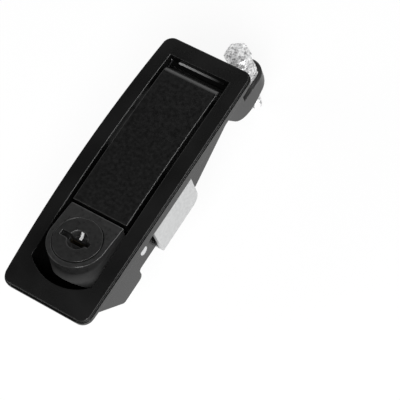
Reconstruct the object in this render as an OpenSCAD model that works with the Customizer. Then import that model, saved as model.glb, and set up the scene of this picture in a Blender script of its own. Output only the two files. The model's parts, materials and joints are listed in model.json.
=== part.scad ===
// Flush lever latch with key lock for a case or cabinet door.
// Origin: centre of the bezel on the panel's front face. +Z points out of the panel,
// +Y along the latch to the pawl, +X across it. All sizes in millimetres.

/* [Bezel] */
// Length of the bezel
bezel_l = 120; // [112:1:128]
// Width of the bezel at the middle of its length
bezel_w = 43.4; // [42:0.2:47]
// How far each long side bows out
bezel_bow = 1.4; // [0.8:0.1:1.8]
// Height of the rim at the ends
rim_t = 2.8; // [2.4:0.1:3.6]
// Rise of the crowned top over the length
crown_rise = 2.8; // [1.5:0.1:3.4]
// Corner radius of the bezel
corner_r = 4.6; // [3:0.2:7]
// Width of the ledge that runs round the rim
ledge_w = 0.6; // [0.3:0.1:0.9]
// Height of the rim above that ledge
cap_h = 1.5; // [1:0.1:1.9]

/* [Opening] */
// Width of the opening at the middle of its length
open_w = 29.4; // [28:0.1:31]
// How far each side of the opening bows out
open_bow = 0.7; // [0.4:0.1:0.9]
// Bezel left beside the opening at the lock end
border_lock = 8.4; // [7.4:0.1:8.8]
// Bezel left beside the opening at the pawl end
border_pawl = 7.8; // [7:0.1:8.4]
// Length of the opening that the lock block takes
lock_room = 31.3; // [30.6:0.1:32]
// Radius of the opening's curved lock end
open_end_r = 21; // [19:0.2:24]
// Length of the rib on the opening's pawl end wall
end_rib_l = 21.2; // [16:0.2:24]

/* [Housing] */
// Thickness of the housing's side walls
wall_t = 2.4; // [2:0.1:2.8]
// Depth of the lock pocket behind the panel
lock_depth = 23.5; // [23:0.1:26]
// Depth of the middle of the housing
mid_depth = 17.9; // [17.4:0.1:19]
// Depth of the housing at its pawl end
pawl_depth = 3.9; // [3.6:0.1:5.6]
// Thickness of floors and of the sloping end wall
floor_t = 2; // [1.6:0.1:2.2]
// Flange that laps the panel at the lock end
lap_lock = 3.7; // [3.2:0.1:4.2]
// Flange that laps the panel at the pawl end
lap_pawl = 5.1; // [4.2:0.1:5.6]
// Distance from the trigger's pivot to the front of the lock pocket's floor
pocket_front = 18.9; // [18.4:0.1:19.6]
// Distance from the trigger's pivot to the step in the floor
step_back = 6; // [5:0.1:6.4]
// Length of the floor behind the lever
mid_floor_l = 39.7; // [35:0.1:42]
// Length of the housing that tapers to the pawl end
taper_l = 40.2; // [33:0.2:41]

/* [Lever] */
// Gap between the lever and each side of the opening
lever_gap = 2.1; // [1.6:0.1:2.4]
// Gap that the lever's rolled end swings through
swing_gap = 4.2; // [3.8:0.1:4.6]
// Thickness of the lever's plate
lever_t = 3; // [2.4:0.1:3.2]
// Thickness of the lever's skirt
skirt_t = 1.8; // [1.4:0.1:2]
// Height of the lever's skirt
skirt_h = 6.5; // [5.6:0.1:7]
// Radius of the lever's rolled end
roll_r = 3.7; // [2.8:0.1:4.2]
// Distance from the lever's end to its pivot
pivot_back = 6.5; // [6:0.1:7.4]
// Depth of the lever's pivot behind the panel face
pivot_depth = 3.7; // [3.5:0.1:4]
// Diameter of the lever's pivot pin
pivot_d = 5; // [4:0.1:5.2]
// Width of the pawl arm, which the lever's ears hold
arm_w = 14.6; // [14:0.1:16.4]
// Thickness of each ear
ear_t = 2; // [1.6:0.1:2.4]
// Radius of the ears round the pivot
ear_r = 4.8; // [4.5:0.1:5.2]
// Diameter of the pin that keys the arm to the ears
drive_d = 3; // [2.4:0.1:3.2]
// Distance from the pivot to that pin
drive_back = 9.2; // [8.4:0.1:10]

/* [Pawl arm] */
// Distance of the grip bolt beyond the bezel's end
bolt_out = 12.8; // [11.6:0.1:15]
// Depth of the arm's heel behind the panel face
arm_depth = 44.2; // [43:0.1:46]
// Distance from the bolt's axis back to the heel's corner
heel_back = 16.1; // [15:0.1:17]
// Distance from the bolt's axis back to where the underside starts to rise
keel_back = 6.3; // [5:0.1:8]
// Rise of the underside from there to the tip
tip_rise = 4.5; // [3:0.1:5]
// Height of the cup's rim above the heel
cup_h = 10; // [9.4:0.1:11]
// Depth of the nut pocket below the rim
pocket_depth = 3.8; // [3:0.1:4.2]
// Width of the arm's stem, seen from the side
stem_w = 10.2; // [8.8:0.1:11]
// Radius of the arm's heel
heel_r = 13; // [8:0.2:14]
// Length of the nut pocket from the bolt's axis to the stem
pocket_back = 9.3; // [8.4:0.1:10]

/* [Grip bolt] */
// Thread diameter of the grip bolt
bolt_d = 6; // [5:0.1:6.4]
// Width of its head and nuts across the flats
bolt_af = 10; // [9.4:0.1:10.6]
// Height of the bolt's head
head_h = 4; // [3.4:0.1:4.6]
// Length of the bolt below its head
bolt_l = 40; // [36:0.5:42]
// Depth of the head's top behind the panel face: the grip
grip = 17.4; // [16:0.1:18]
// Height of the captive nut
nut_h = 5; // [4.5:0.1:5.4]
// Height of the jam nut
jam_h = 5; // [4.5:0.1:5.2]
// Thickness of the washer
washer_t = 1.2; // [1:0.1:1.6]
// Outer diameter of the washer
washer_d = 10.4; // [9.6:0.1:11]

/* [Trigger] */
// Gap between the lever and the lock block
trigger_gap = 1.4; // [1.2:0.1:1.7]
// Gap between the lock block and each side of the opening
block_gap = 2.5; // [1.9:0.1:2.8]
// Length of the lock block
block_l = 25.4; // [25:0.1:25.7]
// Height of the lock block
block_h = 18.5; // [17.6:0.1:19]
// Depth of the trigger's pivot behind the panel face
trigger_depth = 11.1; // [10.8:0.1:11.6]
// Diameter of the trigger's pivot pin
trigger_pin_d = 4; // [3.4:0.1:4.2]
// Angle that the trigger is pressed through
press_angle = 10; // [6:0.5:10]
// Radius of the trigger's ears round its pivot
trigger_ear_r = 3.6; // [3.3:0.1:3.8]
// Thickness of each of those ears
trigger_ear_t = 2.8; // [2:0.1:3.2]
// How far the catch nose stands out of the lock block
nose_out = 0.6; // [0.3:0.1:0.8]
// Width of the catch nose and of the lever's ledge
catch_w = 11; // [8:0.5:15]

/* [Lock] */
// Diameter of the plug's face
face_d = 19.7; // [18:0.1:20.4]
// Thickness of the plug's face
face_t = 2.8; // [2.3:0.1:3.2]
// How far the face stands proud of the block
face_proud = 0.3; // [0.1:0.1:0.6]
// Diameter of the plug's barrel
barrel_d = 11; // [10.4:0.1:11.6]
// Wall of the sleeve that the barrel turns in
sleeve_t = 1.2; // [1:0.1:1.5]
// Length of the key slot in the face
slot_l = 13.4; // [12:0.1:14]
// How far the key slot sits to the left of the plug's axis
slot_shift = 1; // [0:0.1:1.4]
// Width of the key slot
slot_w = 2.4; // [2:0.1:2.8]
// Diameter of the dished centre of the face
dish_d = 8.6; // [7:0.1:9.4]
// Depth of the dished centre
dish_depth = 2.4; // [1.6:0.1:2.6]
// Width of the key blade's way through the barrel
blade_w = 8; // [7.4:0.1:8.4]
// Number of tumbler wafers
wafers = 5; // [4:1:6]
// Thickness of a wafer
wafer_t = 0.8; // [0.7:0.05:0.9]
// Distance between wafers
wafer_pitch = 1.8; // [1.6:0.1:2]
// Reach of the cam from the plug's axis
cam_reach = 7.4; // [6.4:0.1:7.6]
// Width of the cam
cam_w = 7; // [6.6:0.1:7.4]
// Thickness of the cam
cam_t = 1.8; // [1.4:0.1:2]
// Width of the plug's square tail
tail_w = 4; // [3.6:0.1:4.2]

/* [Mounting bracket] */
// Place of the bracket along the latch, from the bezel's middle
bracket_y = -1.1; // [-4:0.1:0]
// Thickness of the bracket's sheet
sheet_t = 1.5; // [1.2:0.1:1.7]
// Gap between the housing and each leg
leg_gap = 1.75; // [1:0.05:2]
// Length of the bracket along the latch
bracket_l = 26.3; // [22:0.1:27]
// Thickest panel that fits under the legs
panel_t = 2.2; // [2:0.1:3.4]
// Radius of the corner at the legs' pawl side
leg_corner_r = 4.6; // [3:0.2:5.6]
// Distance between the bracket's screws
screw_pitch = 16.6; // [13:0.2:18]
// Thread diameter of those screws
screw_d = 4; // [3:0.1:4.2]
// Length of those screws below the head
screw_l = 7.4; // [6.8:0.1:7.8]

/* [Springs] */
// Wire diameter of the lever's torsion spring
torsion_wire = 0.6; // [0.5:0.05:0.7]
// Turns of the torsion spring
torsion_turns = 2.5; // [2.5:1:2.5]
// Wire diameter of the trigger's springs
press_wire = 0.6; // [0.5:0.05:0.75]
// Outer diameter of the trigger's springs
press_d = 4.6; // [4:0.1:5]
// Turns of a trigger spring
press_turns = 6; // [5:1:7]
// Distance between the two trigger springs
press_pitch = 17.4; // [16.6:0.2:18.2]

/* [Clearances] */
// Radial clearance of a pin in the piece that turns on it
run_clear = 0.05; // [0.02:0.01:0.1]
// Radial clearance of a pin in the piece that holds it
fixed_clear = 0.02; // [0.01:0.01:0.05]
// Side clearance between pieces that move past each other
side_clear = 0.3; // [0.2:0.05:0.4]

/* [Hidden] */
$fn = 64;
big = 200;
past = 1;
seam = 0.01;
touch = 0.05;
far_fn = 720;
end_fn = 180;
half_l = bezel_l / 2;
half_w = bezel_w / 2;
crown_r = (half_l * half_l + crown_rise * crown_rise) / (2 * crown_rise);
top_z = rim_t + crown_rise;
side_r = (half_l * half_l + bezel_bow * bezel_bow) / (2 * bezel_bow);
open_side_r = (half_l * half_l + open_bow * open_bow) / (2 * open_bow);
open_y0 = -half_l + border_lock;
open_y1 = half_l - border_pawl;
body_w = open_w + 2 * wall_t;

block_y = open_y0 + lock_room;
trigger_y = block_y + side_clear;
trigger_z = -trigger_depth;

// Housing, along the latch
slope_y0 = -half_l + lap_lock;
pocket_y0 = trigger_y - pocket_front;
slope_l = pocket_y0 - slope_y0;
step_y = trigger_y - step_back;
body_y1 = half_l - lap_pawl;
taper_y0 = body_y1 - taper_l;
floor_y1 = step_y + mid_floor_l;
slope_run = slope_l / lock_depth;
slope_inset = floor_t * sqrt(1 + slope_run * slope_run);
pocket_floor_z = -lock_depth + floor_t;
mid_floor_z = -mid_depth + floor_t;

// Lever
lever_w = open_w - 2 * lever_gap;
lever_y1 = open_y1 - swing_gap;
lever_y0 = block_y + trigger_gap;
lever_l = lever_y1 - lever_y0;
pivot_y = lever_y1 - pivot_back;
pivot_z = -pivot_depth;
ear_in = arm_w / 2 + side_clear;
ear_out = ear_in + ear_t;
drive_y = pivot_y - drive_back;
drive_lift = 2.3;
drive_z = pivot_z + drive_lift;
function crown_z(y) = sqrt(crown_r * crown_r - y * y) - crown_r + top_z;
roll_y = lever_y1 - roll_r;
roll_z = crown_z(roll_y) - roll_r;
sweep_r = norm([roll_y - pivot_y, roll_z - pivot_z]) + roll_r;
shelf_y = pivot_y + sweep_r + side_clear;
shelf_t = 1.7;
shelf_z = -pawl_depth + shelf_t;

// Pawl arm and grip bolt
bolt_y = half_l + bolt_out;
arm_z = -arm_depth;
cup_rim_z = arm_z + cup_h;
cup_z = cup_rim_z - pocket_depth;
pocket_w = bolt_af + 2 * side_clear;
cup_y0 = bolt_y - pocket_back;
cup_wall = (arm_w - pocket_w) / 2;
head_z = -grip - head_h;

// Trigger: its own frame has the pivot at the origin and stands upright when pressed
block_w = open_w - 2 * block_gap;
block_top_y = block_y - trigger_y;
block_top_z = crown_z(block_y) - trigger_z;
flat_y = block_top_y * cos(press_angle) - block_top_z * sin(press_angle);
block_z1 = block_top_y * sin(press_angle) + block_top_z * cos(press_angle);
block_z0 = block_z1 - block_h;
round_y = flat_y - block_l + block_w / 2;
front_clear = 0.8;

// Lock, along the plug's axis in the trigger's frame
face_z1 = block_z1 + face_proud;
face_z0 = face_z1 - face_t;
sleeve_d = barrel_d + 2 * sleeve_t;
sleeve_out = 0.3;
sleeve_z0 = block_z0 - sleeve_out;
barrel_z0 = sleeve_z0 - side_clear;
cam_z0 = barrel_z0 - cam_t;
cam_head_h = 2.4;
cam_head_d = 6.6;
cam_screw_d = 2.6;
wafer_top = 1.6;
wafer_z1 = face_z0 - wafer_top;

// Mounting bracket, along the latch and across it
leg_in = body_w / 2 + leg_gap;
leg_out = leg_in + sheet_t;
web_z0 = -mid_depth - sheet_t;
boss_d = screw_d + 4;
boss_h = 5;
split_t = 1;
split_w = 0.8;
screw_head_h = 2.6;
screw_head_d = 7.4;
screw_edge = 1;

// Springs
function open_x(y) = open_w / 2 - open_side_r + sqrt(open_side_r * open_side_r - y * y);
coil_gap = 0.5;
torsion_r = pivot_d / 2 + coil_gap + torsion_wire / 2;
torsion_x0 = ear_out + side_clear + torsion_wire / 2;
torsion_x1 = open_x(pivot_y) - side_clear - torsion_wire / 2;
press_y = step_y - floor_t - press_d / 2 - coil_gap;
press_seat_y = press_y - trigger_y;
press_seat_d = press_d + 2 * coil_gap;
press_seat_h = 3;

// Two-dimensional outlines

// Strip between y0 and y1 whose long sides bow out to the width w at y = 0
bow_steps = 14;
function bow_points(w, r, y0, y1, side) =
    let (start = side > 0 ? y0 : y1, run = side > 0 ? y1 - y0 : y0 - y1)
    [for (i = [0:bow_steps]) let (y = start + run * i / bow_steps)
        [side * (w / 2 - r + sqrt(r * r - y * y)), y]];
module bowed_strip(w, r, y0, y1) {
    polygon(concat(bow_points(w, r, y0, y1, 1), bow_points(w, r, y0, y1, -1)));
}

// Rectangle with rounded corners whose arcs run into the bezel's bowed sides
module corner_outline(inset) {
    r = side_r - inset;
    c = corner_r - inset;
    cy = half_l - inset - c;
    cx = sqrt((r - c) * (r - c) - cy * cy) + half_w - side_r + seam;
    square([2 * cx, 2 * (cy + c)], center = true);
    square([2 * bezel_w, 2 * cy], center = true);
    for (sx = [-1, 1], sy = [-1, 1])
        translate([sx * cx, sy * cy]) circle(c);
}

// One tier of the bezel's rim, inset from its outline and lowered from its crown
module rim_tier(inset, drop) {
    intersection() {
        linear_extrude(top_z + past)
            bowed_strip(bezel_w - 2 * inset, side_r - inset, -half_l, half_l);
        linear_extrude(top_z + past) corner_outline(inset);
        under_crown(drop);
    }
}

// The opening: bowed sides, square pawl end, curved lock end
module opening() {
    end_y = open_y0 + open_end_r;
    intersection() {
        translate([0, 0, -big / 2]) linear_extrude(big)
            bowed_strip(open_w, open_side_r, -half_l, open_y1);
        union() {
            translate([0, end_y, -big / 2]) cylinder(r = open_end_r, h = big, $fn = end_fn);
            translate([-half_w, end_y, -big / 2]) cube([bezel_w, bezel_l, big]);
        }
    }
}

// Straight block with one half-round end, flat edge at y = 0
module d_outline(w, l) {
    translate([-w / 2, w / 2 - l]) square([w, l - w / 2]);
    translate([0, w / 2 - l]) circle(w / 2);
}

// Polygon whose corners are rounded by the radii in rs
function unit(v) = v / norm(v);
function arc_corner(a, b, c, r, n) =
    let (u = unit(a - b), v = unit(c - b), half = acos(u * v) / 2,
         centre = b + unit(u + v) * r / sin(half),
         s = b + u * r / tan(half), e = b + v * r / tan(half),
         a0 = atan2(s[1] - centre[1], s[0] - centre[0]),
         a1 = atan2(e[1] - centre[1], e[0] - centre[0]),
         d = a1 - a0 > 180 ? a1 - a0 - 360 : (a1 - a0 < -180 ? a1 - a0 + 360 : a1 - a0))
    [for (i = [0:n]) centre + r * [cos(a0 + d * i / n), sin(a0 + d * i / n)]];
function rounded(ps, rs, n = 6) =
    [for (i = [0:len(ps) - 1])
        let (m = len(ps), a = ps[(i + m - 1) % m], b = ps[i], c = ps[(i + 1) % m])
        each (rs[i] > 0 ? arc_corner(a, b, c, rs[i], n) : [b])];

// Extrudes a shape drawn in the Y-Z plane across the latch
module across(w, x = 0) {
    translate([x - w / 2, 0, 0]) rotate([90, 0, 90]) linear_extrude(w) children();
}

// Round bar across the latch
module cross_bar(d, w, y, z, x = 0) {
    translate([x - w / 2, y, z]) rotate([0, 90, 0]) cylinder(d = d, h = w);
}

// Space under the crowned top, lowered by drop
module under_crown(drop) {
    translate([-big / 2, 0, top_z - drop - crown_r])
        rotate([0, 90, 0]) cylinder(r = crown_r, h = big, $fn = far_fn);
}

// Puts the trigger's pieces in their raised place at rest
module at_trigger() {
    translate([0, trigger_y, trigger_z]) rotate([-press_angle, 0, 0]) children();
}

// Puts the lock's pieces on the plug's axis
module at_lock() {
    at_trigger() translate([0, round_y, 0]) children();
}

// Hexagonal nut blank with flats facing the sides and chamfered faces
nut_chamfer = 0.6;
module hex_blank(af, h) {
    r = af / 2 / cos(30);
    edge = (r - af / 2) * nut_chamfer;
    intersection() {
        rotate(30) cylinder(r = r, h = h, $fn = 6);
        rotate_extrude()
            polygon([[0, 0], [r - edge * 2, 0], [r, edge], [r, h - edge], [r - edge * 2, h], [0, h]]);
    }
}

// Round wire swept along points, closed at both ends
function ring_frame(ps, i) =
    let (m = len(ps), t = unit(ps[min(i + 1, m - 1)] - ps[max(i - 1, 0)]),
         side = unit(cross(abs(t[0]) > 0.9 ? [0, 1, 0] : [1, 0, 0], t)))
    [side, cross(t, side)];
module wire(ps, d, sides = 8) {
    m = len(ps);
    pts = [for (i = [0:m - 1]) let (f = ring_frame(ps, i))
        for (k = [0:sides - 1])
            ps[i] + d / 2 * (cos(360 * k / sides) * f[0] + sin(360 * k / sides) * f[1])];
    walls = [for (i = [0:m - 2], k = [0:sides - 1])
        let (a = i * sides + k, b = i * sides + (k + 1) % sides)
        [a, a + sides, b + sides, b]];
    ends = [[for (k = [0:sides - 1]) k], [for (k = [sides - 1:-1:0]) (m - 1) * sides + k]];
    polyhedron(pts, concat(walls, ends), convexity = 6);
}

// Housing

// Side view of the outside of the housing's body
heel_round = 2.2;
step_round = 1.4;
taper_round = 4;
module body_profile() {
    polygon(rounded(
        [[slope_y0, 0], [pocket_y0, -lock_depth], [step_y, -lock_depth], [step_y, -mid_depth],
         [taper_y0, -mid_depth], [body_y1, -pawl_depth], [body_y1, 0]],
        [0, heel_round, heel_round, step_round, taper_round, step_round, 0]));
}

// Side view of the space inside: lock pocket, floor behind the lever, open back at the pawl and
// a shelf that closes the gap behind the lever's rolled end
module cavity_profile() {
    inner_y = slope_y0 + slope_inset;
    polygon([[inner_y - slope_run * big, big], [inner_y + slope_run * -pocket_floor_z, pocket_floor_z],
             [step_y - floor_t, pocket_floor_z], [step_y - floor_t, mid_floor_z],
             [floor_y1, mid_floor_z], [floor_y1, -big], [shelf_y, -big], [shelf_y, shelf_z],
             [bezel_l, shelf_z], [bezel_l, big]]);
}

module bracket_bosses() {
    for (s = [-1, 1])
        translate([s * screw_pitch / 2, bracket_y, mid_floor_z - floor_t / 2])
            cylinder(d = boss_d, h = boss_h + floor_t / 2);
}

module end_rib() {
    rib_z = -1;
    rib_t = 1;
    rib_out = 0.8;
    translate([-end_rib_l / 2, open_y1 - rib_out, rib_z]) cube([end_rib_l, rib_out + past, rib_t]);
}

module housing() color("#202021") {
    difference() {
        union() {
            difference() {
                union() {
                    rim_tier(0, cap_h);
                    rim_tier(ledge_w, 0);
                    across(body_w) body_profile();
                }
                intersection() {
                    opening();
                    across(bezel_w) cavity_profile();
                }
            }
            bracket_bosses();
            end_rib();
        }
        cross_bar(pivot_d + 2 * fixed_clear, bezel_w, pivot_y, pivot_z);
        cross_bar(trigger_pin_d + 2 * fixed_clear, bezel_w, trigger_y, trigger_z);
        for (s = [-1, 1])
            translate([s * screw_pitch / 2, bracket_y, -mid_depth - past])
                cylinder(d = screw_d + 2 * fixed_clear, h = boss_h + floor_t);
    }
}

// A pin across the housing, flush with both walls, with a clip groove inside the right wall
groove_t = 0.7;
groove_depth = 0.6;
clip_rim = 1.6;
clip_mouth = 0.6;
module in_groove(y, z) {
    translate([open_x(y) - side_clear - groove_t, y, z]) rotate([0, 90, 0]) children();
}
module grooved_pin(d, y, z) {
    difference() {
        cross_bar(d, body_w, y, z);
        in_groove(y, z) difference() {
            cylinder(d = 2 * d, h = groove_t);
            cylinder(d = d - 2 * groove_depth, h = groove_t);
        }
    }
}

// Open ring that snaps into a pin's groove beside the housing wall
module snap_clip(d, y, z) {
    outer = d + 2 * clip_rim;
    mouth = d * clip_mouth;
    thick = groove_t - 2 * fixed_clear;
    in_groove(y, z) translate([0, 0, fixed_clear]) difference() {
        cylinder(d = outer, h = thick);
        cylinder(d = d - 2 * groove_depth + 2 * fixed_clear, h = thick);
        translate([0, -mouth / 2, 0]) cube([outer, mouth, thick]);
    }
}

module lever_pivot_pin() color("#b9bcc0") grooved_pin(pivot_d, pivot_y, pivot_z);
module pivot_pin_clip() color("#8f9296") snap_clip(pivot_d, pivot_y, pivot_z);
module trigger_pivot_pin() color("#d6d8da") grooved_pin(trigger_pin_d, trigger_y, trigger_z);
module trigger_pin_clip() color("#8f9296") snap_clip(trigger_pin_d, trigger_y, trigger_z);

// Lever

// Side view of the lever's outside: straight lock end, rolled pawl end
module lever_profile() {
    translate([lever_y0, -big]) square([roll_y - lever_y0, big * 2]);
    translate([roll_y, roll_z]) circle(roll_r);
    translate([lever_y0, -big]) square([lever_l, big + roll_z]);
}

// Side view of one of the lever's two ears, from the pivot to behind the drive pin
ear_wall = 3;
ear_sag = 0.8;
ear_tail = 5;
module ear_profile() {
    root_z = drive_z - ear_wall;
    tail_y = drive_y - ear_tail;
    translate([pivot_y, pivot_z]) circle(ear_r);
    polygon([[pivot_y + ear_r, pivot_z], [pivot_y + ear_r * 0.6, crown_z(pivot_y) - past],
             [tail_y, crown_z(drive_y) - past], [tail_y, root_z],
             [drive_y, root_z - ear_sag], [pivot_y - ear_r * 0.4, pivot_z - ear_r * 0.8]]);
}

// Side view of the nose under the rolled end, which keeps the slot behind the lever closed
nose_drop = 1.5;
module end_nose_profile() {
    skirt_z = crown_z(lever_y1) - skirt_h;
    intersection() {
        translate([pivot_y, pivot_z]) circle(sweep_r);
        polygon([[lever_y1 - skirt_t / 3, skirt_z + nose_drop], [lever_y1 - skirt_t / 3, skirt_z],
                 [lever_y1 + skirt_t / 2, pivot_z - nose_drop], [bezel_l, pivot_z - nose_drop],
                 [bezel_l, skirt_z + nose_drop]]);
    }
}

// Ledge under the lever's lock end that the trigger's nose holds
ledge_h = 2.5;
ledge_top = -0.5;
module catch_ledge() {
    reach = trigger_gap - side_clear;
    translate([-catch_w / 2, lever_y0 - reach, ledge_top - ledge_h])
        cube([catch_w, reach + skirt_t, ledge_h]);
}

module lever() color("#1e1e1f") {
    difference() {
        union() {
            difference() {
                intersection() {
                    translate([-lever_w / 2, -half_l, -half_w]) cube([lever_w, bezel_l, bezel_w]);
                    under_crown(0);
                    across(lever_w) lever_profile();
                }
                under_crown(skirt_h);
                intersection() {
                    translate([-lever_w / 2 + skirt_t, lever_y0 + skirt_t, -half_w])
                        cube([lever_w - 2 * skirt_t, lever_l - 2 * skirt_t, bezel_w]);
                    under_crown(lever_t);
                }
            }
            for (s = [-1, 1]) across(ear_t, s * (ear_in + ear_t / 2)) ear_profile();
            across(lever_w) end_nose_profile();
            catch_ledge();
        }
        cross_bar(pivot_d + 2 * run_clear, bezel_w, pivot_y, pivot_z);
        cross_bar(drive_d + 2 * fixed_clear, bezel_w, drive_y, drive_z);
        cross_bar(2 * (ear_r + side_clear), 2 * ear_in, pivot_y, pivot_z);
        cross_bar(2 * (torsion_r + coil_gap) + torsion_wire, lever_w,
                  pivot_y, pivot_z, -ear_out - lever_w / 2);
    }
}

module drive_pin() color("#7d8084")
    cross_bar(drive_d, 2 * ear_out, drive_y, drive_z);

// Pawl arm

// Hub on the pivot, tail to the drive pin, stem, heel and cup, all as wide as the arm
shoulder_h = 4.6;
shoulder_r = 5;
tail_wall = 1.1;
rim_round = 1;
module arm_blank() {
    stem_y = cup_y0 - cup_wall;
    tip_y = bolt_y + arm_w / 2;
    hub_y = pivot_y + stem_w / 2;
    tail_r = drive_d / 2 + tail_wall;
    cross_bar(2 * ear_r, arm_w, pivot_y, pivot_z);
    cross_bar(2 * drive_d, arm_w, drive_y, drive_z);
    across(arm_w) polygon([[drive_y, drive_z - tail_r], [drive_y, drive_z + tail_r],
             [pivot_y, pivot_z + ear_r - tail_wall], [pivot_y, pivot_z - ear_r + tail_wall]]);
    across(arm_w) polygon(rounded(
        [[hub_y - stem_w, pivot_z], [bolt_y - heel_back, arm_z], [bolt_y - keel_back, arm_z],
         [tip_y, arm_z + tip_rise], [tip_y, cup_rim_z], [stem_y, cup_rim_z],
         [stem_y, cup_rim_z + shoulder_h], [hub_y, pivot_z]],
        [0, heel_r, 0, 0, 0, rim_round, shoulder_r, 0]));
}

module pawl_arm() color("#2a2a2b") {
    difference() {
        intersection() {
            arm_blank();
            translate([0, drive_y - 2 * drive_d, -big / 2]) linear_extrude(big)
                rotate(180) d_outline(arm_w, bolt_y - drive_y + 2 * drive_d + arm_w / 2);
        }
        translate([0, bolt_y, cup_z]) rotate(30) cylinder(r = pocket_w / 2 / cos(30), h = cup_h, $fn = 6);
        translate([-pocket_w / 2, cup_y0, cup_z])
            cube([pocket_w, bolt_y - cup_y0, shoulder_h + pocket_depth]);
        translate([0, bolt_y, arm_z]) cylinder(d = bolt_d + 2 * side_clear, h = cup_h);
        cross_bar(pivot_d + 2 * run_clear, bezel_w, pivot_y, pivot_z);
        cross_bar(drive_d + 2 * fixed_clear, bezel_w, drive_y, drive_z);
    }
}

module captive_nut() color("#c4c6c8")
    translate([0, bolt_y, cup_z]) difference() {
        hex_blank(bolt_af, nut_h);
        translate([0, 0, -past]) cylinder(d = bolt_d + 2 * run_clear, h = nut_h + 2 * past);
    }

// Spring washer between the captive nut and the jam nut
module grip_washer() color("#c8cacb")
    translate([0, bolt_y, cup_z + nut_h]) difference() {
        cylinder(d = washer_d, h = washer_t);
        translate([0, 0, -past]) cylinder(d = bolt_d + 2 * side_clear, h = washer_t + 2 * past);
        translate([0, -split_w / 2, -past]) cube([washer_d, split_w, washer_t + 2 * past]);
    }

module jam_nut() color("#c4c6c8")
    translate([0, bolt_y, cup_z + nut_h + washer_t]) difference() {
        hex_blank(bolt_af, jam_h);
        translate([0, 0, -past]) cylinder(d = bolt_d + 2 * run_clear, h = jam_h + 2 * past);
    }

tip_share = 0.12;
head_chamfer = 1.2;
head_slope = 1.6;
module grip_bolt() color("#cfd1d2") {
    tip = bolt_d * tip_share;
    head_r = bolt_af / 2 / cos(30);
    head_edge = (head_r - bolt_af / 2) * head_chamfer;
    translate([0, bolt_y, head_z]) {
        intersection() {
            rotate(30) cylinder(r = head_r, h = head_h, $fn = 6);
            rotate_extrude()
                polygon([[0, 0], [head_r, 0], [head_r, head_h - head_edge],
                         [head_r - head_edge * head_slope, head_h], [0, head_h]]);
        }
        translate([0, 0, -bolt_l]) rotate_extrude()
            polygon([[0, 0], [bolt_d / 2 - tip, 0], [bolt_d / 2, tip], [bolt_d / 2, bolt_l], [0, bolt_l]]);
    }
}

// Trigger and lock

// Side view of the lock block in the trigger's frame: its underside clears the sloping end wall
module block_profile() {
    front_y = flat_y - block_l;
    inner_y = slope_y0 + slope_inset - trigger_y;
    front_z = (front_y - front_clear - inner_y) / -slope_run - trigger_z;
    low_y = inner_y + slope_run * -(block_z0 + trigger_z) + front_clear;
    polygon([[front_y, block_z1], [front_y, front_z], [low_y, block_z0],
             [flat_y, block_z0], [flat_y, block_z1]]);
}

// Side view of one of the block's two ears, which hang on the trigger's pivot pin
ear_out_y = 0.5;
ear_root = 2;
ear_rise = 2.2;
module trigger_ear_profile() {
    root_y = flat_y - ear_root;
    root_z = trigger_ear_r * ear_rise;
    circle(trigger_ear_r);
    polygon([[-trigger_ear_r * 0.2, -trigger_ear_r * 0.98], [trigger_ear_r * 0.7, trigger_ear_r * 0.7],
             [flat_y + ear_out_y, root_z], [root_y, root_z], [root_y, block_z0]]);
}

catch_h = 2;
catch_down = 5;
module lock_block() color("#29292a") {
    ear_x = block_w / 2 - trigger_ear_t / 2;
    at_trigger() difference() {
        union() {
            intersection() {
                translate([0, flat_y, -big / 2]) linear_extrude(big) d_outline(block_w, block_l);
                across(block_w) block_profile();
            }
            for (s = [-1, 1]) across(trigger_ear_t, s * ear_x) trigger_ear_profile();
            translate([-catch_w / 2, flat_y - past, block_z1 - catch_down])
                cube([catch_w, past + nose_out, catch_h]);
        }
        cross_bar(trigger_pin_d + 2 * run_clear, bezel_w, 0, 0);
        translate([0, round_y, 0]) {
            translate([0, 0, face_z0 - side_clear]) cylinder(d = face_d + 2 * side_clear, h = face_t * 2);
            translate([0, 0, -big / 2]) cylinder(d = sleeve_d + 2 * fixed_clear, h = big);
        }
        for (s = [-1, 1]) translate([s * press_pitch / 2, press_seat_y, block_z0 - big])
            cylinder(d = press_seat_d, h = big + press_seat_h);
    }
}

module lock_sleeve() color("#a8aaa6")
    at_lock() translate([0, 0, sleeve_z0]) difference() {
        cylinder(d = sleeve_d, h = face_z0 - side_clear - sleeve_z0);
        translate([0, 0, -past]) cylinder(d = barrel_d + 2 * run_clear, h = big);
    }

wafer_rim = 1;
wafer_l = barrel_d - 2 * wafer_rim;
wafer_w = barrel_d / 2;
wafer_gap = 0.2;
slot_floor = 0.6;
dish_slope = 0.6;
key_stop = 4;
cam_bore_l = 5;
module wafer_slots(t, l, w) {
    for (i = [0:wafers - 1])
        translate([-l / 2, -w / 2, wafer_z1 - i * wafer_pitch - t]) cube([l, w, t]);
}

module lock_plug() color("#303031")
    at_lock() difference() {
        union() {
            translate([0, 0, face_z0]) cylinder(d = face_d, h = face_t);
            translate([0, 0, barrel_z0]) cylinder(d = barrel_d, h = face_z0 - barrel_z0 + past);
            translate([-tail_w / 2, -tail_w / 2, cam_z0]) cube([tail_w, tail_w, cam_t + past]);
        }
        translate([-slot_l / 2 - slot_shift, -slot_w / 2, face_z0 + slot_floor])
            cube([slot_l, slot_w, face_t]);
        translate([-blade_w / 2, -slot_w / 2, barrel_z0 + key_stop]) cube([blade_w, slot_w, big]);
        translate([0, 0, face_z1 - dish_depth])
            cylinder(d1 = dish_d - 2 * dish_depth * dish_slope, d2 = dish_d, h = dish_depth);
        wafer_slots(wafer_t + wafer_gap, wafer_l + 2 * wafer_gap, wafer_w + 2 * wafer_gap);
        translate([0, 0, cam_z0 - past]) cylinder(d = cam_screw_d, h = cam_bore_l + past);
    }

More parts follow.
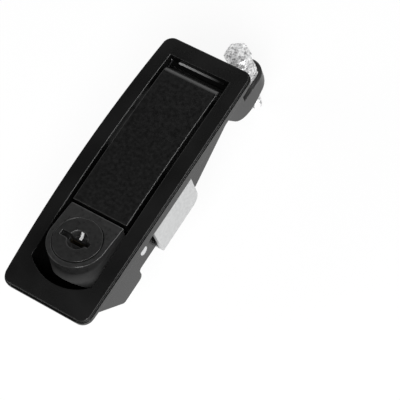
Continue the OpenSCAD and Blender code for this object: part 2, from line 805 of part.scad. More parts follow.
module tumbler_wafers() color("#c9a95c")
    at_lock() difference() {
        translate([0, 0, -wafer_gap / 2]) wafer_slots(wafer_t, wafer_l, wafer_w);
        translate([-blade_w / 2, -slot_w / 2, barrel_z0]) cube([blade_w, slot_w, big]);
    }

module lock_cam() color("#b4b6b8") {
    tail_hole = tail_w + 4 * fixed_clear;
    tip_x = cam_reach - cam_w / 2;
    at_lock() translate([0, 0, cam_z0]) difference() {
        union() {
            cylinder(d = cam_w, h = cam_t);
            translate([tip_x, 0, 0]) cylinder(d = cam_w, h = cam_t);
            translate([0, -cam_w / 2, 0]) cube([tip_x, cam_w, cam_t]);
        }
        translate([-tail_hole / 2, -tail_hole / 2, -past]) cube([tail_hole, tail_hole, cam_t + 2 * past]);
    }
}

// Two crossed slots for a screwdriver, cut into a screw head whose face is at z = 0
module cross_recess(l, w, depth) {
    for (a = [0, 90]) rotate(a)
        translate([-l / 2, -w / 2, -past]) cube([l, w, depth + past]);
}

cam_screw_l = 4.5;
module cam_screw() color("#c0c2c4")
    at_lock() translate([0, 0, cam_z0]) difference() {
        union() {
            translate([0, 0, -cam_head_h]) cylinder(d = cam_head_d, h = cam_head_h);
            translate([0, 0, -seam]) cylinder(d = cam_screw_d - 2 * fixed_clear, h = cam_screw_l + seam);
        }
        translate([0, 0, -cam_head_h]) cross_recess(cam_head_d / 2, cam_head_d / 8, cam_head_h / 2);
    }

// Mounting bracket

foot_r = 0.8;
top_r = 1;
module bracket_side_profile() {
    y0 = bracket_y - bracket_l / 2;
    y1 = bracket_y + bracket_l / 2;
    polygon(rounded([[y0, -panel_t], [y0, web_z0], [y1, web_z0], [y1, -panel_t]],
                    [0, foot_r, leg_corner_r, top_r]));
}

module mounting_bracket() color("#d4d5d4") {
    difference() {
        across(2 * leg_out) bracket_side_profile();
        translate([-leg_in, -bezel_l, -mid_depth]) cube([2 * leg_in, 2 * bezel_l, mid_depth * 2]);
        for (s = [-1, 1]) translate([s * screw_pitch / 2, bracket_y, web_z0 - past])
            cylinder(d = screw_d + 2 * side_clear, h = sheet_t + 2 * past);
    }
}

module bracket_washers() color("#b9bbbd")
    for (s = [-1, 1])
        translate([s * screw_pitch / 2, bracket_y, web_z0 - split_t]) difference() {
            cylinder(d = screw_head_d, h = split_t);
            translate([0, 0, -past]) cylinder(d = screw_d + 2 * side_clear, h = split_t + 2 * past);
            translate([0, -split_w / 2, -past]) cube([screw_head_d, split_w, split_t + 2 * past]);
        }

module bracket_screws() color("#c4c6c8")
    for (s = [-1, 1])
        translate([s * screw_pitch / 2, bracket_y, web_z0 - split_t]) difference() {
            union() {
                translate([0, 0, -screw_head_h]) rotate_extrude()
                    polygon([[0, 0], [screw_head_d / 2 - screw_edge, 0], [screw_head_d / 2, screw_edge],
                             [screw_head_d / 2, screw_head_h], [0, screw_head_h]]);
                cylinder(d = screw_d, h = screw_l);
            }
            translate([0, 0, -screw_head_h])
                cross_recess(screw_head_d / 2, screw_head_d / 8, screw_head_h / 2);
        }

// Springs

// Torsion spring on the lever's pivot: coil beside the left ear, one leg under the lever's
// skirt and one on the housing's end wall
module lever_spring() color("#9a9c9e") {
    steps = 20;
    pitch = (torsion_x1 - torsion_x0) / torsion_turns;
    leg_l = 15;
    bend_l = 3;
    bend = [-1.6, 0.6, -0.6];
    leg_end = [-lever_w / 2 + skirt_t / 2, pivot_y - leg_l,
               crown_z(pivot_y - leg_l) - skirt_h - torsion_wire / 2 - touch];
    back_end = [-torsion_x1, open_y1 - torsion_wire / 2 - touch, pivot_z + torsion_r];
    coil = [for (i = [0:torsion_turns * steps])
        let (a = -90 - 360 * i / steps)
        [-torsion_x0 - pitch * i / steps, pivot_y + torsion_r * cos(a), pivot_z + torsion_r * sin(a)]];
    leg_start = [-torsion_x0, leg_end[1] + bend_l, leg_end[2] + bend[0]];
    wire(concat([leg_end, leg_end + bend, leg_start], coil, [back_end]), torsion_wire);
}

module press_coil(h) {
    steps = 16;
    r = (press_d - press_wire) / 2;
    rise = h - press_wire;
    flat = 0.75;
    flat_rise = press_wire * 1.05;
    turns = press_turns + 2 * flat;
    wire([for (i = [0:turns * steps])
        let (t = i / steps, a = 360 * t, k = min(max((t - flat) / press_turns, 0), 1),
             lift = flat_rise / 2 * min(t, flat) / flat,
             fall = flat_rise / 2 * max(t - flat - press_turns, 0) / flat)
        [r * cos(a), r * sin(a), press_wire / 2 + lift + k * (rise - flat_rise) + fall]],
        press_wire, 6);
}

module trigger_springs() color("#9a9c9e") {
    seat_z = block_z0 + press_seat_h;
    top = trigger_z - press_seat_y * sin(press_angle) + seat_z * cos(press_angle);
    lean = (press_d / 2) * sin(press_angle);
    top_y = trigger_y + press_seat_y * cos(press_angle) + seat_z * sin(press_angle);
    for (s = [-1, 1])
        translate([s * press_pitch / 2, top_y, pocket_floor_z + touch])
            press_coil(top - lean - pocket_floor_z - 2 * touch);
}

// Nodes

housing();
lever_pivot_pin();
pivot_pin_clip();
trigger_pivot_pin();
trigger_pin_clip();
mounting_bracket();
bracket_washers();
bracket_screws();
lever_spring();
trigger_springs();
lever();
drive_pin();
pawl_arm();
captive_nut();
grip_washer();
jam_nut();
grip_bolt();
lock_block();
lock_sleeve();
lock_plug();
tumbler_wafers();
lock_cam();
cam_screw();
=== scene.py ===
# %% [markdown]
# # A flush lever latch for a case
# The latch is a black die-cast bezel with a lever that lies flush in it, a lock block
# that pops up at one end, and a pawl arm with a bright grip bolt behind the panel.
# The solids come from CAD, so this lesson is about the finish: soft edges, coats and
# plating, a cut thread, wound springs, and the plain studio that shows them.

# %% Load the latch
import json
import math

import bpy
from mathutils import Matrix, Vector


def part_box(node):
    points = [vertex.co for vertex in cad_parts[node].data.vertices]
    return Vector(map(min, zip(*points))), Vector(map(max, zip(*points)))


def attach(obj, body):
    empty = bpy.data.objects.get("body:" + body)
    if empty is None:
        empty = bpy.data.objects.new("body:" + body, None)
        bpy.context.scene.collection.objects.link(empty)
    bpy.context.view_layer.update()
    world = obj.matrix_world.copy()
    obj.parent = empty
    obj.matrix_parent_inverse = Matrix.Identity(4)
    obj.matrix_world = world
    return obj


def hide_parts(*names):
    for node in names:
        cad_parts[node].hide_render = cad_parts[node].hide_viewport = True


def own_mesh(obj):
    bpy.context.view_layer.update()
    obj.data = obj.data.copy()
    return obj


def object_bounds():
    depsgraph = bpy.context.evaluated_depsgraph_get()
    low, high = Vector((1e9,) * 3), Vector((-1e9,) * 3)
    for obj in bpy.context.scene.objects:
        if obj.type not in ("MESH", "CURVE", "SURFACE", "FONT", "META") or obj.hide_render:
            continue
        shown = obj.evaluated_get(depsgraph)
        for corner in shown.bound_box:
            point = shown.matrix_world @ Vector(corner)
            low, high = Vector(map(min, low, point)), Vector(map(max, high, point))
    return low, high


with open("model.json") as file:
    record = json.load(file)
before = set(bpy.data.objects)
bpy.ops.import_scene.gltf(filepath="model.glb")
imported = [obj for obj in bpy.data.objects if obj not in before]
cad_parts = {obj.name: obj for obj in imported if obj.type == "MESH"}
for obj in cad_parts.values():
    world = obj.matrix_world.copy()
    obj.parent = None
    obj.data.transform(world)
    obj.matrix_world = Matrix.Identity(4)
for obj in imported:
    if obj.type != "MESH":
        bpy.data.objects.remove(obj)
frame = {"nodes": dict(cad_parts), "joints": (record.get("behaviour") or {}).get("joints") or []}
nodes = frame["nodes"]
cad_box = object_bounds()
scene = bpy.context.scene
MM = 0.001

# %% [markdown]
# ## Where the picture is taken from
# The picture was taken from above the latch's right side with a long lens, so its edges
# run almost parallel. The camera is placed by its position and its three turns instead of
# a Track To constraint, because it also leans sideways, which tracking would undo.

# %% Camera
camera_data = bpy.data.cameras.new("camera")
camera_data.sensor_width = 36.0
camera_data.lens = 174.07
camera = bpy.data.objects.new("camera", camera_data)
camera.location = (0.31149, -0.19286, 0.65215)
camera.rotation_euler = (0.44790, 0.19519, 0.57469)
scene.collection.objects.link(camera)
scene.camera = camera
scene.view_settings.view_transform = "Standard"
print("camera stands", round(camera.location.length, 3), "m away")

# %% [markdown]
# ## Small helpers for shader nodes
# Every finish below is a Principled shader with some noise and a few masks. Wiring the same
# Math, Map Range and Mix nodes by hand each time would hide what a finish does, so each gets
# a short function. A value that is a plain number goes straight into the socket, and a value
# that comes from another node is linked.


# %% Node helpers
def new_finish(name):
    finish = bpy.data.materials.new(name)
    finish.use_nodes = True
    tree = finish.node_tree
    shader = tree.nodes["Principled BSDF"]
    return finish, tree, shader


def grey(tone):
    return (tone, tone, tone)


def maths(tree, operation, first, second=0):
    node = tree.nodes.new("ShaderNodeMath")
    node.operation = operation
    for socket, value in zip(node.inputs, (first, second)):
        if isinstance(value, (int, float)):
            socket.default_value = value
        else:
            tree.links.new(value, socket)
    return node.outputs[0]


def remap(tree, value, start, end, low=0.0, high=1.0):
    node = tree.nodes.new("ShaderNodeMapRange")
    node.inputs["From Min"].default_value = start
    node.inputs["From Max"].default_value = end
    node.inputs["To Min"].default_value = low
    node.inputs["To Max"].default_value = high
    tree.links.new(value, node.inputs["Value"])
    return node.outputs["Result"]


def mix_colours(tree, share, first, second):
    mix = tree.nodes.new("ShaderNodeMix")
    mix.data_type = "RGBA"
    tree.links.new(share, mix.inputs["Factor"])
    for socket, colour in ((mix.inputs["A"], first), (mix.inputs["B"], second)):
        if isinstance(colour, tuple):
            socket.default_value = (*colour, 1)
        else:
            tree.links.new(colour, socket)
    return mix.outputs["Result"]


print("node helpers ready")

# %% [markdown]
# ## Grain and soft edges
# No coat or plating is perfectly even, so every finish varies a little in colour, roughness and
# surface. Noise in object coordinates does it: the grain stays on the metal when a piece turns,
# and its size can be given in grains per metre.
#
# No cast or plated edge is razor sharp either: a small round on each edge catches the light as
# a thin bright line, and those lines draw the latch in the picture. A Bevel modifier would need
# clean faces, and CAD solids come as long triangles, so the round is made in the shader: the
# Bevel node bends the normal near an edge, and the grain is added on top of it.

# %% Grain helpers
noise_low, noise_high = 0.3, 0.7
bevel_samples = 12


def grain(tree, per_metre, detail):
    place = tree.nodes.new("ShaderNodeTexCoord")
    noise = tree.nodes.new("ShaderNodeTexNoise")
    noise.inputs["Scale"].default_value = per_metre
    noise.inputs["Detail"].default_value = detail
    tree.links.new(place.outputs["Object"], noise.inputs["Vector"])
    return noise.outputs["Fac"]


def spread(tree, noise, low=0.0, high=1.0):
    return remap(tree, noise, noise_low, noise_high, low, high)


def bumps(tree, noise, height, strength, edge):
    soft_edge = tree.nodes.new("ShaderNodeBevel")
    soft_edge.samples = bevel_samples
    soft_edge.inputs["Radius"].default_value = edge
    bump = tree.nodes.new("ShaderNodeBump")
    bump.inputs["Distance"].default_value = height
    bump.inputs["Strength"].default_value = strength
    tree.links.new(soft_edge.outputs["Normal"], bump.inputs["Normal"])
    tree.links.new(noise, bump.inputs["Height"])
    return bump.outputs["Normal"]


print("noise is used between", noise_low, "and", noise_high)

# %% [markdown]
# ## Black powder coat
# The bezel, lever and arm are die-cast zinc with a baked black powder coat. Up close such a
# coat is a fine orange peel, not a smooth paint: the tiny waves break reflections up into a
# satin sheen. Two noises do it, a fine one for the peel and a broader one for the uneven gloss.
# On the bezel and the arm the gloss drifts slowly, as handling leaves it, and on the lever and
# the lock it is a fine mottle, so each coat sets its own mottle size.

# %% Powder coat
peel_per_metre = 2600
peel_height = 0.06 * MM
drift = 45
fine_mottle = 700


def powder_coat(name, dark, light, gloss, peel, mottle, shine=0.5, edge=0.6 * MM):
    finish, tree, shader = new_finish(name)
    fine = grain(tree, peel_per_metre, 3.0)
    broad = grain(tree, mottle, 5.0)
    colour = mix_colours(tree, spread(tree, broad), grey(dark), grey(light))
    tree.links.new(colour, shader.inputs["Base Color"])
    tree.links.new(spread(tree, broad, *gloss), shader.inputs["Roughness"])
    tree.links.new(bumps(tree, fine, peel_height, peel, edge), shader.inputs["Normal"])
    shader.inputs["Specular IOR Level"].default_value = shine
    return finish


bezel_coat = powder_coat("bezel_powder_coat", 0.002, 0.004, (0.24, 0.32), 0.2, drift, shine=0.42)
lever_coat = powder_coat("lever_powder_coat", 0.001, 0.004, (0.28, 0.345), 0.3, fine_mottle)
arm_coat = powder_coat("arm_powder_coat", 0.008, 0.013, (0.36, 0.46), 0.3, drift)
block_coat = powder_coat("lock_block_coat", 0.008, 0.013, (0.27, 0.33), 0.2, fine_mottle)
print("black coats:", bezel_coat.name, lever_coat.name, arm_coat.name, block_coat.name)

# %% [markdown]
# ## Masks for painted light and dull places
# A coat isn't the same all over: it is thin in gaps and dull where oil sits, and a few places get
# painted light. Painting a mask by hand would need an unwrapped mesh, so the masks here are sums on
# the point's own coordinates. One helper mixes a lighter grey into the masked places as painted
# light, and dim takes away a share of their shine.


# %% Mask helpers
def object_axes(tree):
    place = tree.nodes.new("ShaderNodeTexCoord")
    split = tree.nodes.new("ShaderNodeSeparateXYZ")
    tree.links.new(place.outputs["Object"], split.inputs["Vector"])
    return tuple(split.outputs)


def between(tree, value, low, high):
    above = maths(tree, "GREATER_THAN", value, low)
    below = maths(tree, "LESS_THAN", value, high)
    return maths(tree, "MULTIPLY", above, below)


# Mixes a lighter grey into the coat where the mask is set: a painted highlight or reflection.
def painted_light_tint(finish, mask, tone):
    tree = finish.node_tree
    colour = tree.nodes["Principled BSDF"].inputs["Base Color"]
    coat = colour.links[0].from_socket
    tree.links.new(mix_colours(tree, mask, coat, grey(tone)), colour)


def dim(finish, mask, share):
    tree = finish.node_tree
    shine = tree.nodes["Principled BSDF"].inputs["Specular IOR Level"]
    kept = maths(tree, "SUBTRACT", 1, maths(tree, "MULTIPLY", mask, share))
    tree.links.new(maths(tree, "MULTIPLY", kept, shine.default_value), shine)


print("masks can tint a coat or dim its shine")

# %% [markdown]
# ## Dull inside the opening
# Powder is blown on from outside and hardly reaches into a narrow gap, so the walls inside the
# opening and the lever's flanks stay thin, dull and dark. That is also what makes the gap round
# the lever read as a black line. The mask says how far a point lies below the crowned top, which
# falls off with the square of its distance from the middle, and looks only at one strip of the
# width: the inner walls for the bezel, the flanks for the lever.

# %% Dull gap walls
half_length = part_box("housing")[1][1]
crown_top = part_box("housing")[1][2]
crown_rise = 2.8 * MM
crown_radius = (half_length ** 2 + crown_rise ** 2) / (2 * crown_rise)
edge_depth = 0.9 * MM
lost_shine = 0.95
half_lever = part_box("lever")[1][0]
flank_skin = 0.4 * MM
gap_reach = 2.8 * MM


def dull_between(finish, x_low, x_high):
    tree = finish.node_tree
    x, y, z = object_axes(tree)
    sag = maths(tree, "DIVIDE", maths(tree, "MULTIPLY", y, y), 2 * crown_radius)
    low = maths(tree, "LESS_THAN", maths(tree, "ADD", z, sag), crown_top - edge_depth)
    strip = between(tree, maths(tree, "ABSOLUTE", x), x_low, x_high)
    dim(finish, maths(tree, "MULTIPLY", low, strip), lost_shine)


dull_between(bezel_coat, -flank_skin, half_lever + gap_reach)
dull_between(lever_coat, half_lever - flank_skin, half_lever + flank_skin)
print("lever is", round(half_lever * 2000, 1), "mm wide")

# %% [markdown]
# ## Crisp outside, soft inside
# The rim round the opening is rounded so that fingers slide over it, while the flange's outer
# edge is a crisp casting edge. Both belong to one solid with one material, so the Bevel node's
# radius itself is switched by the distance from the middle line.

# %% Two edge rounds on the bezel
rim_reach = 3.4 * MM
rim_round = 0.6 * MM
flange_round = 0.2 * MM


def edge_round(finish, x_limit, inner, outer):
    tree = finish.node_tree
    bevel = next(node for node in tree.nodes if node.type == "BEVEL")
    x = object_axes(tree)[0]
    inside = maths(tree, "LESS_THAN", maths(tree, "ABSOLUTE", x), x_limit)
    tree.links.new(remap(tree, inside, 0, 1, outer, inner), bevel.inputs["Radius"])


edge_round(bezel_coat, half_lever + rim_reach, rim_round, flange_round)
print("rim round", rim_round / MM, "mm, flange round", flange_round / MM, "mm")

# %% [markdown]
# ## A painted highlight on the rib and a painted reflection on the foot
# The small rib at the pawl end of the opening gets a painted highlight: a lighter grey, bright on
# the left and fading to the right. The lock block's front gets a painted reflection that grows
# lighter downwards. A separate object for either would have hard edges, so both are lighter
# tints of the coat that fade along one axis.

# %% Painted rib highlight and foot reflection
rib_y = (51.3 * MM, 52.15 * MM)
rib_z = (-0.4 * MM, 0.1 * MM)
rib_highlight_fade_x = (9 * MM, -11 * MM)
rib_highlight_tone = 0.2
foot_reflection_fade_z = (5 * MM, -8 * MM)
foot_reflection_tone = 0.13


def painted_rib_highlight(finish):
    tree = finish.node_tree
    x, y, z = object_axes(tree)
    rib = maths(tree, "MULTIPLY", between(tree, y, *rib_y), between(tree, z, *rib_z))
    # The rib's lighter grey is a painted highlight that fades along x.
    painted_light_tint(finish, maths(tree, "MULTIPLY", rib, remap(tree, x, *rib_highlight_fade_x)), rib_highlight_tone)


def painted_foot_reflection(finish):
    tree = finish.node_tree
    z = object_axes(tree)[2]
    # The front grows lighter downwards: a painted reflection.
    painted_light_tint(finish, remap(tree, z, *foot_reflection_fade_z), foot_reflection_tone)


painted_rib_highlight(bezel_coat)
painted_foot_reflection(block_coat)
print("rib and foot tinted to", rib_highlight_tone, "and", foot_reflection_tone)

# %% [markdown]
# ## A plug with a painted glint in its dish
# The plug has the same coat on its face, and a dark, oily keyway. A patch on the dish's upper
# wall is painted a lighter grey as a painted glint. The mask needs the plug's own directions: a dot
# product gives the depth along its axis, another the distance up the face from the axis.

# %% Plug coat with a painted glint
face_depth = 0.5 * MM
patch_up = 1.5 * MM
patch_shift = 0.2 * MM
patch_half = 0.6 * MM
glint_tone = 0.4
oil_dims = 0.7


def reach_along(tree, start, direction):
    place = tree.nodes.new("ShaderNodeTexCoord")
    offset = tree.nodes.new("ShaderNodeVectorMath")
    offset.operation = "SUBTRACT"
    offset.inputs[1].default_value = start
    dot = tree.nodes.new("ShaderNodeVectorMath")
    dot.operation = "DOT_PRODUCT"
    dot.inputs[1].default_value = direction
    tree.links.new(place.outputs["Object"], offset.inputs[0])
    tree.links.new(offset.outputs["Vector"], dot.inputs[0])
    return dot.outputs["Value"]


def plug_with_painted_glint(name, centre, axis):
    finish = powder_coat(name, 0.005, 0.009, (0.27, 0.33), 0.2, fine_mottle, edge=0.4 * MM)
    tree = finish.node_tree
    across = (1, 0, 0)
    up_face = Vector(axis).cross(Vector(across))
    deep = maths(tree, "LESS_THAN", reach_along(tree, centre, axis), -face_depth)
    upper = maths(tree, "GREATER_THAN", reach_along(tree, centre, up_face), patch_up)
    side = maths(tree, "ADD", reach_along(tree, centre, across), patch_shift)
    narrow = maths(tree, "LESS_THAN", maths(tree, "ABSOLUTE", side), patch_half)
    glint_mask = maths(tree, "MULTIPLY", deep, maths(tree, "MULTIPLY", upper, narrow))
    # The lighter grey on the dish's upper wall is a painted glint.
    painted_light_tint(finish, glint_mask, glint_tone)
    dim(finish, deep, oil_dims)
    return finish


plug_joint = next(joint for joint in frame["joints"] if joint["name"] == "key_turn")
plug_coat = plug_with_painted_glint("plug_coat", plug_joint["pos_m"], plug_joint["axis"])
print("plug axis leans", round(math.degrees(math.acos(plug_joint["axis"][2])), 1), "degrees")

# %% [markdown]
# ## Zinc plating, steel and brass
# The bracket is sheet steel with bright zinc on it, the bolt and nuts are cold formed and
# then plated, so their faces sparkle with small dents. Pins are ground, springs are drawn
# and blackened. They all share one recipe, and differ in brightness, roughness and grain.

# %% Bare and plated metals
dent_height = 0.15 * MM
metal_edge = 0.25 * MM


def bare_metal(name, dark, light, rough, per_metre, dent, metallic=1.0):
    finish, tree, shader = new_finish(name)
    marks = grain(tree, per_metre, 4.0)
    tree.links.new(mix_colours(tree, spread(tree, marks), dark, light), shader.inputs["Base Color"])
    tree.links.new(spread(tree, marks, *rough), shader.inputs["Roughness"])
    tree.links.new(bumps(tree, marks, dent_height, dent, metal_edge), shader.inputs["Normal"])
    shader.inputs["Metallic"].default_value = metallic
    return finish


sheet_zinc = bare_metal(
    "bracket_zinc", dark=(0.52, 0.525, 0.525), light=(0.62, 0.625, 0.625), rough=(0.38, 0.52),
    per_metre=700, dent=0.06, metallic=0.85)
bolt_zinc = bare_metal(
    "bolt_zinc", dark=(0.22, 0.22, 0.225), light=(1.0, 1.0, 1.0), rough=(0.2, 0.45),
    per_metre=1000, dent=1.0, metallic=0.35)
pin_steel = bare_metal(
    "ground_pin_steel", dark=(0.62, 0.63, 0.64), light=(0.78, 0.78, 0.79), rough=(0.16, 0.28),
    per_metre=900, dent=0.08)
spring_wire = bare_metal(
    "blackened_spring_wire", dark=(0.03, 0.03, 0.031), light=(0.06, 0.06, 0.062), rough=(0.4, 0.5),
    per_metre=800, dent=0.1)
# The wafers' brass is painted nearly black: painted shade in the keyway.
keyway_shaded_brass = bare_metal(
    "keyway_shaded_brass", dark=(0.05, 0.038, 0.018), light=(0.1, 0.078, 0.038), rough=(0.35, 0.5),
    per_metre=900, dent=0.1)
sleeve_zinc = bare_metal(
    "sleeve_zinc", dark=grey(0.4), light=grey(0.56), rough=(0.35, 0.5),
    per_metre=500, dent=0.2)
print("metals:", sheet_zinc.name, bolt_zinc.name, pin_steel.name, spring_wire.name)

# %% [markdown]
# ## Dress the CAD nodes
# Each solid keeps its mesh and only gets its finish, by filling its material slots.

# %% Give each node its finish
finish_of = {
    "housing": bezel_coat, "lever": lever_coat, "pawl_arm": arm_coat,
    "lock_block": block_coat, "lock_plug": plug_coat,
    "mounting_bracket": sheet_zinc, "lock_cam": sheet_zinc,
    "grip_bolt": bolt_zinc, "captive_nut": bolt_zinc, "jam_nut": bolt_zinc, "grip_washer": bolt_zinc,
    "bracket_screws": bolt_zinc, "bracket_washers": bolt_zinc, "cam_screw": bolt_zinc,
    "lever_pivot_pin": pin_steel, "trigger_pivot_pin": pin_steel, "drive_pin": pin_steel,
    "pivot_pin_clip": spring_wire, "trigger_pin_clip": spring_wire,
    "lever_spring": spring_wire, "trigger_springs": spring_wire,
    "tumbler_wafers": keyway_shaded_brass, "lock_sleeve": sleeve_zinc,
}
for name, node in nodes.items():
    node.data.materials.clear()
    node.data.materials.append(finish_of[name])
print("dressed", len(finish_of), "nodes")

# %% [markdown]
# ## Meshes made of rings
# The bolt and the springs below are both rows of points round an axis, joined by faces. A curve
# with a bevel could make the springs and a Spin the bolt, but rings of points keep every size
# in plain sight, and the same helpers serve both.


# %% Ring helpers
def around_axis(axis, reach, angle, z):
    return (axis[0] + reach * math.cos(angle), axis[1] + reach * math.sin(angle), z)


def join_rings(faces, first, rows, count, closed=True):
    for row in range(rows - 1):
        for k in range(count if closed else count - 1):
            a = first + row * count + k
            b = first + row * count + (k + 1) % count
            faces.append((a, a + count, b + count, b))


def cap_ends(faces, first, rows, count):
    last = first + (rows - 1) * count
    faces.append(tuple(range(first, first + count)))
    faces.append(tuple(reversed(range(last, last + count))))


def add_piece(name, verts, faces, finish):
    mesh = bpy.data.meshes.new(name)
    mesh.from_pydata(verts, [], faces)
    mesh.materials.append(finish)
    piece = bpy.data.objects.new(name, mesh)
    scene.collection.objects.link(piece)
    return piece


print("ring helpers ready")

# %% [markdown]
# ## A cut thread on the grip bolt
# The CAD bolt has a plain shank. The real one has a rolled thread, so the bolt is made again
# here: one lathe body for the head, neck and core, whose head rings follow a hexagon instead of
# a circle, and one strip that winds round the core as the thread. A Screw modifier could sweep
# the thread too, but working out the points keeps its ends and its pitch in plain sight.

# %% Sizes of the bolt
low, high = (Vector(corner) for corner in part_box("grip_bolt"))
bolt_axis = ((low.x + high.x) / 2, (low.y + high.y) / 2)
flats = high.x - low.x
head_top = high.z
head_under = head_top - 4 * MM
head_chamfer = 0.4 * MM
corner_slope = 0.6
crest = 3 * MM
pitch = 1 * MM
root = crest - 0.55 * pitch
tip = 0.6 * MM
around = 72
print("bolt is", round(flats * 1000, 1), "mm across flats")


# %% Head, neck and core of the bolt
def hex_reach(angle):
    corner = math.radians(60)
    return flats / 2 / math.cos((angle + corner / 2) % corner - corner / 2)


def head_edge(angle):
    reach = hex_reach(angle)
    return reach, head_top - head_chamfer - (reach - flats / 2) * corner_slope


def bolt_rings():
    face_reach = flats * 0.45
    return [
        lambda angle: (face_reach, head_top),
        head_edge,
        lambda angle: (hex_reach(angle), head_under),
        lambda angle: (crest, head_under),
        lambda angle: (crest, head_under - pitch),
        lambda angle: (root, head_under - 1.5 * pitch),
        lambda angle: (root, low.z + tip),
        lambda angle: (root - tip, low.z),
    ]


def add_lathe(verts, faces, rings):
    first = len(verts)
    for ring in rings:
        for step in range(around):
            angle = math.tau * step / around
            reach, z = ring(angle)
            verts.append(around_axis(bolt_axis, reach, angle, z))
    join_rings(faces, first, len(rings), around)
    cap_ends(faces, first, len(rings), around)


bolt_verts, bolt_faces = [], []
add_lathe(bolt_verts, bolt_faces, bolt_rings())
print("bolt body has", len(bolt_faces), "faces")


# %% Thread of the bolt
def add_thread(verts, faces, bottom, top):
    first = len(verts)
    section = ((0.0, root), (0.32, crest), (0.5, crest), (0.82, root))
    steps = int((top - bottom) / pitch) * around
    for step in range(steps + 1):
        angle = math.tau * step / around
        for share, reach in section:
            z = bottom + pitch * (step / around + share - 1)
            verts.append(around_axis(bolt_axis, reach, angle, z))
    join_rings(faces, first, steps + 1, len(section), closed=False)


add_thread(bolt_verts, bolt_faces, low.z + 1.6 * pitch, head_under - 1.2 * pitch)
threaded_bolt = add_piece("threaded_grip_bolt", bolt_verts, bolt_faces, bolt_zinc)
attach(threaded_bolt, "grip_bolt")
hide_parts("grip_bolt")
print("threaded bolt has", len(bolt_faces), "faces")

# %% [markdown]
# ## Wound trigger springs
# Two coil springs under the lock block push it up again. Both ride the housing and stand on the
# pocket's floor.

# %% Sizes of the trigger springs
spring_low, spring_high = (Vector(corner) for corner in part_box("trigger_springs"))
coil_d = spring_high.y - spring_low.y
spring_h = spring_high.z - spring_low.z
spring_y = (spring_low.y + spring_high.y) / 2
wire_d = 0.6 * MM
open_turns = 6
end_turns = 0.75
end_rise = 1.05 * wire_d
ring_steps = 24
wire_sides = 8
print("trigger springs are", round(spring_h * 1000, 1), "mm tall")


# %% Wind the trigger springs
def coil_rise(turn):
    foot = end_rise / 2 * min(turn, end_turns) / end_turns
    open_share = min(max((turn - end_turns) / open_turns, 0), 1)
    top = end_rise / 2 * max(turn - end_turns - open_turns, 0) / end_turns
    return foot + open_share * (spring_h - wire_d - end_rise) + top


def wound_wire(name, x, y):
    coil_reach = (coil_d - wire_d) / 2
    rings = int((open_turns + 2 * end_turns) * ring_steps) + 1
    verts, faces = [], []
    for ring in range(rings):
        angle = math.tau * ring / ring_steps
        wire_z = spring_low.z + wire_d / 2 + coil_rise(ring / ring_steps)
        for side in range(wire_sides):
            turn = math.tau * side / wire_sides
            reach = coil_reach + wire_d / 2 * math.cos(turn)
            verts.append(around_axis((x, y), reach, angle, wire_z + wire_d / 2 * math.sin(turn)))
    join_rings(faces, 0, rings, wire_sides)
    cap_ends(faces, 0, rings, wire_sides)
    return add_piece(name, verts, faces, spring_wire)


spring_places = {
    "left_trigger_spring": spring_low.x + coil_d / 2,
    "right_trigger_spring": spring_high.x - coil_d / 2,
}
for name, x in spring_places.items():
    spring = wound_wire(name, x, spring_y)
    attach(spring, "housing")
    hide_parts("trigger_springs")
    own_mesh(spring)
print("wound", len(spring_places), "trigger springs")

# %% [markdown]
# ## Floor and studio
# The latch lies in a white studio: a pale floor and a pale horizon, darker overhead. The dark
# ceiling is what keeps the top of the black bezel black, while its sides mirror the white
# floor and turn grey. The floor shows as white to the camera and in reflections, and is a plain
# pale surface for the rest, so it still takes the latch's soft shadow.

# %% Floor
floor_drop = 0.2 * MM
floor_half = 2.5
white_share = 0.9


def white_floor():
    finish, tree, shader = new_finish("studio_floor")
    shader.inputs["Base Color"].default_value = (*grey(0.86), 1)
    shader.inputs["Roughness"].default_value = 0.9
    path = tree.nodes.new("ShaderNodeLightPath")
    seen = maths(tree, "MAXIMUM", path.outputs["Is Camera Ray"], path.outputs["Is Glossy Ray"])
    white = tree.nodes.new("ShaderNodeEmission")
    white.inputs["Strength"].default_value = 1.0
    mix = tree.nodes.new("ShaderNodeMixShader")
    tree.links.new(maths(tree, "MULTIPLY", seen, white_share), mix.inputs["Fac"])
    tree.links.new(shader.outputs["BSDF"], mix.inputs[1])
    tree.links.new(white.outputs["Emission"], mix.inputs[2])
    tree.links.new(mix.outputs["Shader"], tree.nodes["Material Output"].inputs["Surface"])
    return finish


floor_z = cad_box[0][2] - floor_drop
corners = [(x * floor_half, y * floor_half, floor_z) for x, y in ((-1, -1), (1, -1), (1, 1), (-1, 1))]
floor = add_piece("floor", corners, [(0, 1, 2, 3)], white_floor())
print("floor at", round(floor_z * 1000, 1), "mm")


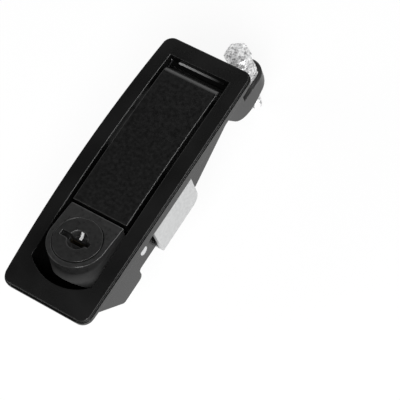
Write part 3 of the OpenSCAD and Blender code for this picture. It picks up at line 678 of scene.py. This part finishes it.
# %% Sky of the studio
def studio_sky(horizon, ceiling):
    world = bpy.data.worlds.new("studio")
    world.use_nodes = True
    tree = world.node_tree
    back = tree.nodes["Background"]
    place = tree.nodes.new("ShaderNodeTexCoord")
    split = tree.nodes.new("ShaderNodeSeparateXYZ")
    ramp = tree.nodes.new("ShaderNodeValToRGB")
    for element, height, tone in zip(ramp.color_ramp.elements, (0.12, 0.55), (horizon, ceiling)):
        element.position = height
        element.color = (*grey(tone), 1)
    tree.links.new(place.outputs["Generated"], split.inputs["Vector"])
    tree.links.new(split.outputs["Z"], ramp.inputs["Fac"])
    tree.links.new(ramp.outputs["Color"], back.inputs["Color"])
    back.inputs["Strength"].default_value = 1.0
    scene.world = world


studio_sky(horizon=0.95, ceiling=0.05)
print("sky is pale at the horizon and dark overhead")

# %% [markdown]
# ## Lamps
# Five large area lamps keep the shadow faint. The right lamp stands low, where the rounded
# right-hand edges mirror it as thin lines. The back lamp does the same for the lever's rolled
# end. The left fill opens the far side a little. The front lamp lights everything from a
# direction that the flat black tops don't mirror, and the plate lamp adds to it on bare metal.
#
# A lamp that draws lines on black paint would burn out zinc, and one that makes zinc bright
# would grey the paint. Light linking gives each its own pieces: a lamp with a receiver
# collection shines on nothing else.


# %% Lamps
def soft_lamp(name, place, size, watts):
    data = bpy.data.lights.new(name, "AREA")
    data.shape = "DISK"
    data.size = size
    data.energy = watts
    lamp = bpy.data.objects.new(name, data)
    lamp.location = place
    lamp.rotation_euler = (Vector(lamp_aim) - Vector(place)).to_track_quat("-Z", "Y").to_euler()
    scene.collection.objects.link(lamp)
    return lamp


def shine_only_on(lamp, group_name, pieces):
    group = bpy.data.collections.new(group_name)
    for piece in pieces:
        group.objects.link(piece)
    lamp.light_linking.receiver_collection = group


lamp_aim = (0, 0.01, -0.01)
right_lamp = soft_lamp("right_lamp", (0.9, 0.27, 0.42), 0.8, 16)
soft_lamp("left_fill", (-0.8, -0.5, 0.7), 0.8, 4)
soft_lamp("front_lamp", (0.45, -0.5, 0.85), 0.5, 14)
plate_lamp = soft_lamp("plate_lamp", (0.7, -0.2, 0.8), 0.5, 8)
soft_lamp("back_lamp", (-0.26, 0.955, 0.48), 0.8, 2)

black_names = ("housing", "lever", "lock_block", "lock_plug", "pawl_arm")
bright_nodes = [node for name, node in nodes.items() if name not in black_names]
shine_only_on(right_lamp, "black_pieces", [nodes[name] for name in black_names])
shine_only_on(plate_lamp, "bright_pieces", bright_nodes + [threaded_bolt])
print("five soft lamps set, two of them linked to their pieces")
